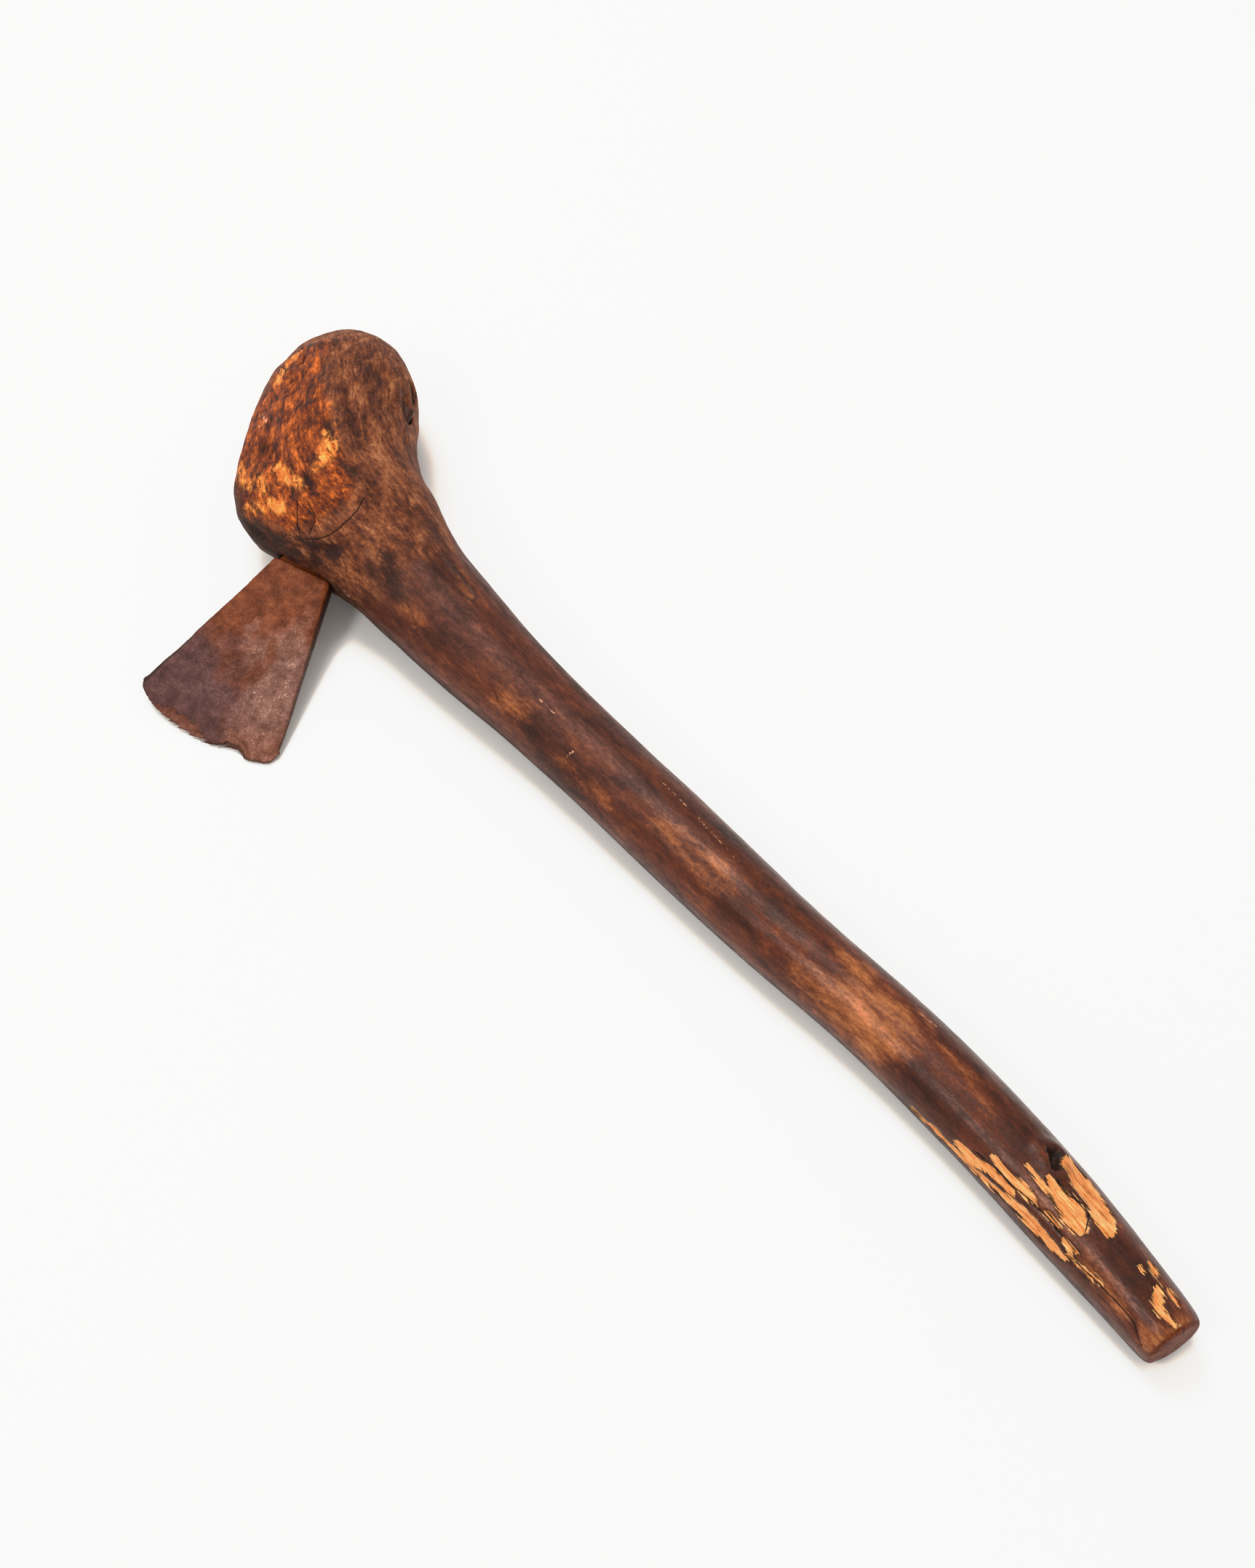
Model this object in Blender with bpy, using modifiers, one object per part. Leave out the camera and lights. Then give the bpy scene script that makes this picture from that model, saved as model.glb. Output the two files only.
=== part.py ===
# Splitting axe: a root-burl haft with a rusty iron blade whose tang goes right through the head.
# It lies on its side. +X runs from the head to the butt, the blade points to -Y, and +Z is up.
# Lengths are in metres and angles in degrees.

import math

import bmesh
import bpy
from mathutils import Matrix, Vector

# The haft. Its free form is given as shares of this length.
HAFT_LENGTH = 0.700
RING_SIDES = 12
FORM_LEVELS = 2
CROWN_SHARE = 0.45
BUTT_ROUNDING = 0.007
BUTT_FACE_SHARE = 0.84
BUTT_CENTRE_SHARE = 0.50

# The blade and its tang, measured along the blade's own centre line.
BLADE_LENGTH = 0.0946
EDGE_WIDTH = 0.0866
EDGE_BULGE = 0.0114
EDGE_FULLNESS = 3.0
HEEL_REACH = 0.0080
TOE_SWEEP = 0.0018
EDGE_THICKNESS = 0.0014
BEVEL_LENGTH = 0.016
BEVEL_THICKNESS = 0.0052
SHOULDER_WIDTH = 0.0346
SHOULDER_THICKNESS = 0.0120
TANG_ROOT_WIDTH = 0.0300
TANG_ROOT_THICKNESS = 0.0095
TANG_TIP_WIDTH = 0.0105
TANG_TIP_THICKNESS = 0.0045
BLADE_COLUMNS = 14
BLADE_ROWS = 12
SIDE_ROUNDING = 0.0016

# How the blade sits in the head.
BLADE_HEADING = 29.4
BLADE_DIP = 13.5
BLADE_ROLL = 2.5
MOUTH_ALONG = 0.1909
MOUTH_SIDE = -0.1563
SLOT_CLEARANCE = 0.0003
TANG_RECESS = 0.0025

# Where the head and the butt are worn flat, the haft is trimmed at the ground.
TRIM_SIZE = 2.0

# The head has a ridge. A chopped face falls steeply to the front of it, a milder slope to the back.
FACE_FALL = 0.8
BACK_FALL = 0.25
FACE_START = 0.03
FACE_END = 0.17

# Stations of the haft from the head's crown to the butt, each a share of the length:
# along, to the side, lean of the ring in degrees, half width, underside, top side.
STATIONS = (
    (0.015, -0.021, 31.0, 0.032, 0.024, 0.074),
    (0.038, -0.041, 28.0, 0.055, 0.010, 0.095),
    (0.074, -0.064, 20.0, 0.067, 0.001, 0.104),
    (0.112, -0.093, 17.0, 0.071, -0.001, 0.107),
    (0.150, -0.113, 17.0, 0.072, 0.000, 0.105),
    (0.191, -0.106, 15.0, 0.063, 0.002, 0.100),
    (0.236, -0.097, 14.0, 0.045, 0.004, 0.090),
    (0.290, -0.090, 12.0, 0.043, 0.005, 0.080),
    (0.350, -0.080, 7.0, 0.036, 0.005, 0.073),
    (0.430, -0.065, 2.0, 0.031, 0.004, 0.067),
    (0.540, -0.046, 0.0, 0.033, 0.003, 0.064),
    (0.640, -0.031, 0.0, 0.029, 0.002, 0.061),
    (0.740, -0.007, 0.0, 0.028, 0.001, 0.060),
    (0.850, 0.005, 0.0, 0.030, 0.000, 0.058),
    (0.930, 0.010, 0.0, 0.026, -0.001, 0.053),
)
BUTT_STATION = (1.000, 0.012, 0.0, 0.023, -0.001, 0.048)

WOOD_COLOUR = (0.115, 0.055, 0.030, 1.0)
WOOD_ROUGHNESS = 0.55
RUST_COLOUR = (0.105, 0.048, 0.030, 1.0)
RUST_ROUGHNESS = 0.75
RUST_METALLIC = 0.4
SHARP_ANGLE = 40.0


def clearScene():
    for thing in list(bpy.data.objects):
        bpy.data.objects.remove(thing, do_unlink=True)


def makeCollection(name):
    collection = bpy.data.collections.new(name)
    bpy.context.scene.collection.children.link(collection)
    return collection


def makeMaterial(name, colour, roughness, metallic=0.0):
    material = bpy.data.materials.new(name)
    material.use_nodes = True
    shader = material.node_tree.nodes["Principled BSDF"]
    shader.inputs["Base Color"].default_value = colour
    shader.inputs["Roughness"].default_value = roughness
    shader.inputs["Metallic"].default_value = metallic
    material.diffuse_color = colour
    return material


def addObject(name, mesh, collection, material=None):
    thing = bpy.data.objects.new(name, mesh)
    collection.objects.link(thing)
    if material:
        mesh.materials.append(material)
        mesh.shade_smooth()
        mesh.set_sharp_from_angle(angle=math.radians(SHARP_ANGLE))
    return thing


def loftMesh(name, rings):
    # Joins rings of equally many points with quads and closes both ends.
    form = bmesh.new()
    rows = [[form.verts.new(point) for point in ring] for ring in rings]
    count = len(rows[0])
    for row, following in zip(rows, rows[1:]):
        for i in range(count):
            j = (i + 1) % count
            form.faces.new((row[i], row[j], following[j], following[i]))
    form.faces.new(rows[0])
    form.faces.new(rows[-1])
    bmesh.ops.recalc_face_normals(form, faces=form.faces)
    mesh = bpy.data.meshes.new(name)
    form.to_mesh(mesh)
    form.free()
    return mesh


def cageSpread():
    # A subdivided ring shrinks inside its cage by this factor, which the cage makes up for.
    return 3.0 / (2.0 + math.cos(2.0 * math.pi / RING_SIDES))


def haftRing(station, shift=0.0, share=1.0):
    # One ring of the haft's cage: an oval across the haft, upright, turned by its lean.
    along, side, lean, halfWidth, underside, top = station
    centre = Vector((along, side, (underside + top) / 2)) * HAFT_LENGTH
    turn = math.radians(lean)
    across = Vector((math.sin(turn), math.cos(turn), 0.0))
    spread = cageSpread() * share * HAFT_LENGTH
    halfHeight = (top - underside) / 2
    chopped = FACE_START < along < FACE_END
    ring = []
    for i in range(RING_SIDES):
        angle = 2.0 * math.pi * i / RING_SIDES
        point = centre + across * (math.cos(angle) * halfWidth * spread)
        rise = math.sin(angle)
        if chopped:
            fall = FACE_FALL if math.cos(angle) < 0.0 else BACK_FALL
            rise = min(rise, 1.0 - fall * abs(math.cos(angle)))
        point.z += rise * halfHeight * spread
        point.x -= shift
        ring.append(point)
    return ring


def haftMesh():
    # The form runs through the stations and ends in a rounded, sawn butt.
    rings = [haftRing(STATIONS[0], share=CROWN_SHARE)]
    rings += [haftRing(station) for station in STATIONS]
    rings.append(haftRing(BUTT_STATION, BUTT_ROUNDING))
    rings.append(haftRing(BUTT_STATION, BUTT_ROUNDING / 4, (1.0 + BUTT_FACE_SHARE) / 2))
    rings.append(haftRing(BUTT_STATION, 0.0, BUTT_FACE_SHARE))
    rings.append(haftRing(BUTT_STATION, 0.0, BUTT_CENTRE_SHARE))
    return loftMesh("haft", rings)


def bladeFrame(lift):
    # Local X runs out along the blade, Y across it towards the heel, Z up through its thickness.
    heading = Matrix.Rotation(math.radians(BLADE_HEADING - 90.0), 4, "Z")
    dip = Matrix.Rotation(math.radians(BLADE_DIP), 4, "Y")
    roll = Matrix.Rotation(math.radians(-BLADE_ROLL), 4, "X")
    mouth = Vector((MOUTH_ALONG * HAFT_LENGTH, MOUTH_SIDE * HAFT_LENGTH, lift))
    return Matrix.Translation(mouth) @ heading @ dip @ roll


def edgeLine(share):
    # How far the cutting edge lies out from the mouth: -1 is the toe and 1 the heel.
    return BLADE_LENGTH + EDGE_BULGE * (1.0 - abs(share) ** EDGE_FULLNESS) + HEEL_REACH * share / 2


def bladeRing(out, width, thickness, bend):
    # A flat oblong section, its long sides split in columns, its corners eased.
    half = width / 2
    ease = min(SIDE_ROUNDING, thickness / 2) / 2
    sweep = TOE_SWEEP * max(out, 0.0) / BLADE_LENGTH
    ring = []
    stops = [-half + width * i / (BLADE_COLUMNS - 1) for i in range(BLADE_COLUMNS)]
    stops[0] += ease
    stops[-1] -= ease
    for face in (1.0, -1.0):
        for across in stops if face > 0 else reversed(stops):
            height = thickness / 2 - (ease if across in (stops[0], stops[-1]) else 0.0)
            forward = bend * (edgeLine(across / half) - BLADE_LENGTH)
            ring.append(Vector((out + forward, across - sweep, face * height)))
        corner = bend * (edgeLine(face) - BLADE_LENGTH)
        ring.append(Vector((out + corner, face * half - sweep, 0.0)))
    return ring


def bladeRings():
    # From the shoulder to the cutting edge: it spreads evenly and thins to a short bevel.
    rings = []
    bevelStart = BLADE_LENGTH - BEVEL_LENGTH
    for i in range(BLADE_ROWS + 1):
        share = i / BLADE_ROWS
        out = share * bevelStart
        width = SHOULDER_WIDTH + (EDGE_WIDTH - SHOULDER_WIDTH) * out / BLADE_LENGTH
        thickness = SHOULDER_THICKNESS + (BEVEL_THICKNESS - SHOULDER_THICKNESS) * share
        rings.append(bladeRing(out, width, thickness, share ** 2))
    rings.append(bladeRing(BLADE_LENGTH, EDGE_WIDTH, EDGE_THICKNESS, 1.0))
    return rings


def cornerRing(out, width, thickness):
    # The four corners of a plain cutter's section.
    corners = ((1, 1), (1, -1), (-1, -1), (-1, 1))
    return [Vector((out, i * width / 2, j * thickness / 2)) for i, j in corners]


def tangSection(out, length, gap=0.0):
    # The tang tapers evenly over its length. A gap widens it into its own slot.
    share = -out / length
    width = TANG_ROOT_WIDTH + (TANG_TIP_WIDTH - TANG_ROOT_WIDTH) * share
    thickness = TANG_ROOT_THICKNESS + (TANG_TIP_THICKNESS - TANG_ROOT_THICKNESS) * share
    return out, width + 2 * gap, thickness + 2 * gap


def tangRings(length):
    # From the tip, deep in the head, to the shoulder.
    return [bladeRing(*tangSection(out, length), 0.0) for out in (-length, -length / 2, 0.0)]


def bladeLift():
    # The height of the mouth's centre that brings the blade's lowest point to the ground.
    frame = bladeFrame(0.0)
    return -min((frame @ point).z for ring in bladeRings() for point in ring)


def backDistance(haft, frame):
    # From the mouth, back through the head along the blade's axis, to the head's far side.
    start = frame @ Vector((-SHOULDER_WIDTH, 0.0, 0.0))
    direction = (frame.to_3x3() @ Vector((-1.0, 0.0, 0.0))).normalized()
    graph = bpy.context.evaluated_depsgraph_get()
    solid = haft.evaluated_get(graph)
    hit, place, normal, index = solid.ray_cast(start, direction)
    return SHOULDER_WIDTH + (place - start).length


def makeBlade(frame, length, collection, material):
    rings = tangRings(length - TANG_RECESS) + bladeRings()
    mesh = loftMesh("blade", [[frame @ point for point in ring] for ring in rings])
    return addObject("blade", mesh, collection, material)


def slotCutter(frame, length, collection):
    # The tang's slot, right through the head.
    rings = []
    for out in (-length - SHOULDER_WIDTH, SHOULDER_THICKNESS):
        rings.append(cornerRing(*tangSection(out, length - TANG_RECESS, SLOT_CLEARANCE)))
    mesh = loftMesh("slot cutter", [[frame @ point for point in ring] for ring in rings])
    return addObject("slot cutter", mesh, collection)


def seatCutter(frame, collection):
    # The flat seat that the blade's shoulder meets, and all the room outside it.
    rings = []
    for out in (-SLOT_CLEARANCE, BLADE_LENGTH):
        spread = (EDGE_WIDTH - SHOULDER_WIDTH) * max(out, 0.0) / BLADE_LENGTH
        width = SHOULDER_WIDTH + spread + 2 * SLOT_CLEARANCE
        rings.append(cornerRing(out, width, SHOULDER_THICKNESS + 2 * SLOT_CLEARANCE))
    mesh = loftMesh("seat cutter", [[frame @ point for point in ring] for ring in rings])
    return addObject("seat cutter", mesh, collection)


def groundCutter(collection):
    # Everything below the ground, which trims the worn flats.
    form = bmesh.new()
    size = Matrix.Diagonal((TRIM_SIZE, TRIM_SIZE, TRIM_SIZE, 1.0))
    place = Matrix.Translation((0.0, 0.0, -TRIM_SIZE / 2))
    bmesh.ops.create_cube(form, size=1.0, matrix=place @ size)
    mesh = bpy.data.meshes.new("ground cutter")
    form.to_mesh(mesh)
    form.free()
    return addObject("ground cutter", mesh, collection)


def cutBy(thing, cutter):
    cutter.hide_render = True
    cutter.display_type = "WIRE"
    cut = thing.modifiers.new(cutter.name, "BOOLEAN")
    cut.operation = "DIFFERENCE"
    cut.solver = "EXACT"
    cut.object = cutter


def centreOnGround(things):
    # Moves the finished part so that the middle of its box's base is the origin.
    bpy.context.view_layer.update()
    graph = bpy.context.evaluated_depsgraph_get()
    corners = []
    for thing in things:
        solid = thing.evaluated_get(graph)
        corners += [solid.matrix_world @ vertex.co for vertex in solid.data.vertices]
    low = [min(corner[i] for corner in corners) for i in range(3)]
    high = [max(corner[i] for corner in corners) for i in range(3)]
    return Vector((-(low[0] + high[0]) / 2, -(low[1] + high[1]) / 2, -low[2]))


def main():
    clearScene()
    parts = makeCollection("splitting axe")
    cutters = makeCollection("cutters")
    wood = makeMaterial("dark worn wood", WOOD_COLOUR, WOOD_ROUGHNESS)
    rust = makeMaterial("rusty iron", RUST_COLOUR, RUST_ROUGHNESS, RUST_METALLIC)

    haft = addObject("haft", haftMesh(), parts, wood)
    form = haft.modifiers.new("soft form", "SUBSURF")
    form.levels = FORM_LEVELS
    form.render_levels = FORM_LEVELS
    bpy.context.view_layer.update()

    frame = bladeFrame(bladeLift())
    length = backDistance(haft, frame)
    blade = makeBlade(frame, length, parts, rust)
    cutBy(haft, slotCutter(frame, length, cutters))
    cutBy(haft, seatCutter(frame, cutters))
    cutBy(haft, groundCutter(cutters))

    shift = centreOnGround((haft, blade))
    for thing in list(parts.objects) + list(cutters.objects):
        thing.location = shift


if __name__ == "__main__":
    main()
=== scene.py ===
# Splitting axe, dressed for the camera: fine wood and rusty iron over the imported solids.
import math

import bmesh
import bpy
import numpy as np
from mathutils import Matrix, Vector, noise
from mathutils.bvhtree import BVHTree


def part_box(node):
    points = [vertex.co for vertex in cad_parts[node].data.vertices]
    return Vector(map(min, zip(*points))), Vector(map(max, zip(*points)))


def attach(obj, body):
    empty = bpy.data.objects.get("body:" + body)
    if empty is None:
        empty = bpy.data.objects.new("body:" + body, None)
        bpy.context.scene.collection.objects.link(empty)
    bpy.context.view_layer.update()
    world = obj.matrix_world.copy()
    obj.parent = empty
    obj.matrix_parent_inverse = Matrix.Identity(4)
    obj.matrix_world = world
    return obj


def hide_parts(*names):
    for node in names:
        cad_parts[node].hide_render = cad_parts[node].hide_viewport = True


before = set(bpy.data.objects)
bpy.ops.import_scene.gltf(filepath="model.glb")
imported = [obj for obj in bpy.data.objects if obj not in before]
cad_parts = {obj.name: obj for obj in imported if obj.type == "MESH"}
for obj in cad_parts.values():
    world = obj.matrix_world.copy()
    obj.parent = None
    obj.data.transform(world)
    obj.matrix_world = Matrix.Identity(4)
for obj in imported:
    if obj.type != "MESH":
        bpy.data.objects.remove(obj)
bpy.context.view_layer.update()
print("frame loaded:", sorted(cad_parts))

mm = 0.001           # metres in a millimetre
perMetre = 1000.0    # millimetres in a metre

# what both pieces share
making = {
    "mergeGap": 1e-6,        # metres; points of a solid closer than this become one
    "softenPull": 0.5,       # how far a point moves towards its neighbours in one round
    "cloudFall": 1.0,        # how fast the finer layers of a noise grow weaker
    "cloudStep": 2.0,        # how much finer each layer is than the last
    "farAway": 20.0,         # mm; stands for any greater distance
    "shortest": 1e-9,        # square metres; a line shorter than this counts as a point
    "screenGamma": 2.2,
}


# numbers and meshes

def ease(values, low, high):
    # 0 at low, 1 at high, with soft ends; low may be the greater one
    share = np.clip((values - low) / (high - low), 0.0, 1.0)
    return share * share * (3.0 - 2.0 * share)


def readPoints(mesh):
    points = np.zeros(len(mesh.vertices) * 3, np.float32)
    mesh.vertices.foreach_get("co", points)
    return points.reshape(-1, 3).astype(float)


def readNormals(mesh):
    normals = np.zeros(len(mesh.vertices) * 3, np.float32)
    mesh.vertex_normals.foreach_get("vector", normals)
    return normals.reshape(-1, 3).astype(float)


def writePoints(mesh, points):
    mesh.vertices.foreach_set("co", points.astype(np.float32).ravel())
    mesh.update()


def storeNumber(mesh, name, values):
    layer = mesh.attributes.new(name, "FLOAT", "POINT")
    layer.data.foreach_set("value", np.asarray(values, np.float32))


def storeVector(mesh, name, values):
    layer = mesh.attributes.new(name, "FLOAT_VECTOR", "POINT")
    layer.data.foreach_set("vector", np.asarray(values, np.float32).ravel())


def fineCopy(node, name, spacing):
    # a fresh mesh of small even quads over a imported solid
    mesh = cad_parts[node].data.copy()
    piece = bpy.data.objects.new(name, mesh)
    bpy.context.scene.collection.objects.link(piece)
    mesh.materials.clear()
    form = bmesh.new()
    form.from_mesh(mesh)
    bmesh.ops.remove_doubles(form, verts=form.verts, dist=making["mergeGap"])
    form.to_mesh(mesh)
    form.free()
    remesh = piece.modifiers.new("fine", "REMESH")
    remesh.mode = "VOXEL"
    remesh.voxel_size = spacing
    graph = bpy.context.evaluated_depsgraph_get()
    fine = bpy.data.meshes.new_from_object(piece.evaluated_get(graph))
    piece.modifiers.clear()
    piece.data = fine
    fine.name = name
    bpy.data.meshes.remove(mesh)
    fine.shade_smooth()
    return piece


def soften(mesh, rounds, weights):
    # evens out the facets of the solid; a weight of 0 holds a point still
    points = readPoints(mesh)
    edges = np.zeros(len(mesh.edges) * 2, np.int32)
    mesh.edges.foreach_get("vertices", edges)
    first, second = edges.reshape(-1, 2).T
    count = len(points)
    near = np.bincount(first, minlength=count) + np.bincount(second, minlength=count)
    for step in range(rounds):
        average = np.empty_like(points)
        for axis in range(3):
            total = np.bincount(first, points[second, axis], count)
            total += np.bincount(second, points[first, axis], count)
            average[:, axis] = total / near
        points += (average - points) * making["softenPull"] * weights[:, None]
    writePoints(mesh, points)


def cloud(points, scale, detail, seed):
    # soft fractal noise about 0, each axis stretched by its own scale
    places = points * np.asarray(scale) + seed
    fall, step = making["cloudFall"], making["cloudStep"]
    return np.array([noise.fractal(Vector(place), fall, step, detail) for place in places])


# shader nodes

def paint(red, green, blue):
    # a screen colour, 0 to 255, as the shader's own linear colour
    gamma = making["screenGamma"]
    return tuple((channel / 255.0) ** gamma for channel in (red, green, blue)) + (1.0,)


def addNode(tree, kind, sockets=None, **settings):
    made = tree.nodes.new(kind)
    for key, value in settings.items():
        setattr(made, key, value)
    for key, value in (sockets or {}).items():
        if isinstance(value, bpy.types.NodeSocket):
            tree.links.new(value, made.inputs[key])
        else:
            made.inputs[key].default_value = value
    return made


def attribute(tree, name, vector=False):
    made = addNode(tree, "ShaderNodeAttribute", attribute_name=name)
    return made.outputs["Vector" if vector else "Fac"]


def calc(tree, operation, *values):
    sockets = dict(enumerate(values))
    return addNode(tree, "ShaderNodeMath", sockets, operation=operation).outputs[0]


def add(tree, first, second):
    return calc(tree, "ADD", first, second)


def less(tree, first, second):
    return calc(tree, "SUBTRACT", first, second)


def times(tree, first, second):
    return calc(tree, "MULTIPLY", first, second)


def most(tree, first, second):
    return calc(tree, "MAXIMUM", first, second)


def span(tree, value, low, high, toLow=0.0, toHigh=1.0, soft=True):
    # maps low..high onto toLow..toHigh and stops there
    sockets = {"Value": value, "From Min": low, "From Max": high, "To Min": toLow, "To Max": toHigh}
    kind = "SMOOTHSTEP" if soft else "LINEAR"
    made = addNode(tree, "ShaderNodeMapRange", sockets, interpolation_type=kind)
    return made.outputs["Result"]


def grainNoise(tree, vector, scale, detail, rough, swirl, seed):
    made = addNode(tree, "ShaderNodeVectorMath", {0: vector, 1: scale}, operation="MULTIPLY")
    sockets = {"Vector": made.outputs[0], "Scale": 1.0, "Detail": detail}
    sockets.update({"Roughness": rough, "Distortion": swirl, "W": seed})
    return addNode(tree, "ShaderNodeTexNoise", sockets, noise_dimensions="4D").outputs["Fac"]


def mixColour(tree, share, under, over):
    made = addNode(tree, "ShaderNodeMix", data_type="RGBA", blend_type="MIX")
    for index, value in ((0, share), (6, under), (7, over)):    # the sockets of a colour mix
        if isinstance(value, bpy.types.NodeSocket):
            tree.links.new(value, made.inputs[index])
        else:
            made.inputs[index].default_value = value
    return made.outputs[2]


def ramp(tree, value, stops):
    # turns a number into colours; the stops are (position, (red, green, blue))
    made = addNode(tree, "ShaderNodeValToRGB", {"Fac": value})
    slots = made.color_ramp.elements
    while len(slots) < len(stops):
        slots.new(0.5)
    for slot, (position, colour) in zip(slots, stops):
        slot.position = position
        slot.color = paint(*colour)
    return made.outputs["Color"]


def newMaterial(name):
    material = bpy.data.materials.new(name)
    material.use_nodes = True
    tree = material.node_tree
    return material, tree, tree.nodes["Principled BSDF"]


def finishSurface(tree, shader, colour, roughness, relief, finish):
    # the links and constant values that both finishes end with
    tree.links.new(colour, shader.inputs["Base Color"])
    tree.links.new(roughness, shader.inputs["Roughness"])
    shader.inputs["Specular IOR Level"].default_value = finish["sheen"]
    shader.inputs["Specular Tint"].default_value = paint(*finish["sheenTint"])
    sockets = {"Height": relief, "Strength": finish["reliefStrength"]}
    sockets["Distance"] = finish["reliefHeight"]
    bumps = addNode(tree, "ShaderNodeBump", sockets)
    tree.links.new(bumps.outputs["Normal"], shader.inputs["Normal"])


# the haft: fine wood over the solid, with the wear that the real one has

haft = {
    "spacing": 0.00134,              # metres between the points of its mesh
    "softenRounds": 18,
    "sliceLength": 0.004,
    "sliceBlur": 2,                  # slices on each side that the middle line is averaged over
    "headEnd": (0.140, 0.235),       # along the haft, where the rough head turns into the worn handle
    "headRelief": (0.0, 0.5),        # share of head over which its ridge and dips come in
    "polishedFrom": (0.26, 0.46),    # along the haft, where the hand has made it smooth
    "buttRim": (0.322, 0.336),       # x where the softening stops, so the cut end stays crisp
    "buttHold": 0.9,                 # how much of the softening the cut end is spared
    "sawnFrom": (0.33, 0.34),        # x where the sawn end's own colour comes in
    # degrees around where the underside is painted in shade, and how much sooner on the head
    "underside": (90.0, 108.0, 14.0),
    # noises: scale along, across and up, then detail and seed
    "lumps": ((14.0, 45.0, 45.0), 2, 4.0),
    "headLumps": ((48.0, 48.0, 48.0), 2, 9.0),
    "ripples": ((60.0, 260.0, 260.0), 2, 2.0),
    "grit": ((240.0, 420.0, 420.0), 2, 6.0),
    "lumpDepth": 0.0006,
    "headLumpDepth": 0.0011,
    "rippleDepth": 0.00025,
    "handleRipple": 0.35,            # ripples on the handle, as a share of those on the head
    "ridgeReach": 7.0,               # mm to the sides of the ridge's line
    "ridgeRim": 0.2,
    "ridgeHeight": 0.0014,
    "tornRagged": 0.7,               # mm that grit moves a torn place's rim
    "tornRim": (-0.5, 0.5),
    "tornDepth": 0.0007,
    "tornRipple": 0.0003,
    "knotRagged": 0.8,
    # what is sunk or raised: from and to in mm, inside its stroke, and metres at full depth
    "dip": (-5.0, 3.0, 0.0015),
    "crack": (-1.1, 0.0, 0.0008),
    "scar": (-1.5, 2.0, 0.0012),
    "knotSwell": (-9.0, -1.0, 0.0016),
    "knot": (-0.8, 2.6, 0.0050),
    "hole": (-0.8, 0.9, 0.0022),
    "notch": (-1.6, 1.2, 0.0022),
    "joint": (-2.0, 0.0, 0.0008),    # the wood next to the iron
    "ironReach": 9.0,                # mm around the iron that are measured
    "skinGap": 1.0,                  # mm; wood closer to the iron is the wall of the socket
    # stains and painted shade: mm that lumps move the rim, then from and to in mm inside the stroke
    "stainsAndShade": {"dark": (2.0, -4.0, 2.5), "orange": (3.0, -8.0, 5.0), "yellow": (0.0, -3.5, 1.0),
               "shadeAndDark": (0.0, -4.5, 2.5), "fibres": (0.0, -2.5, 1.5)},
    "depthLimit": 9.0,               # mm of depth that are stored
}

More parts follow.
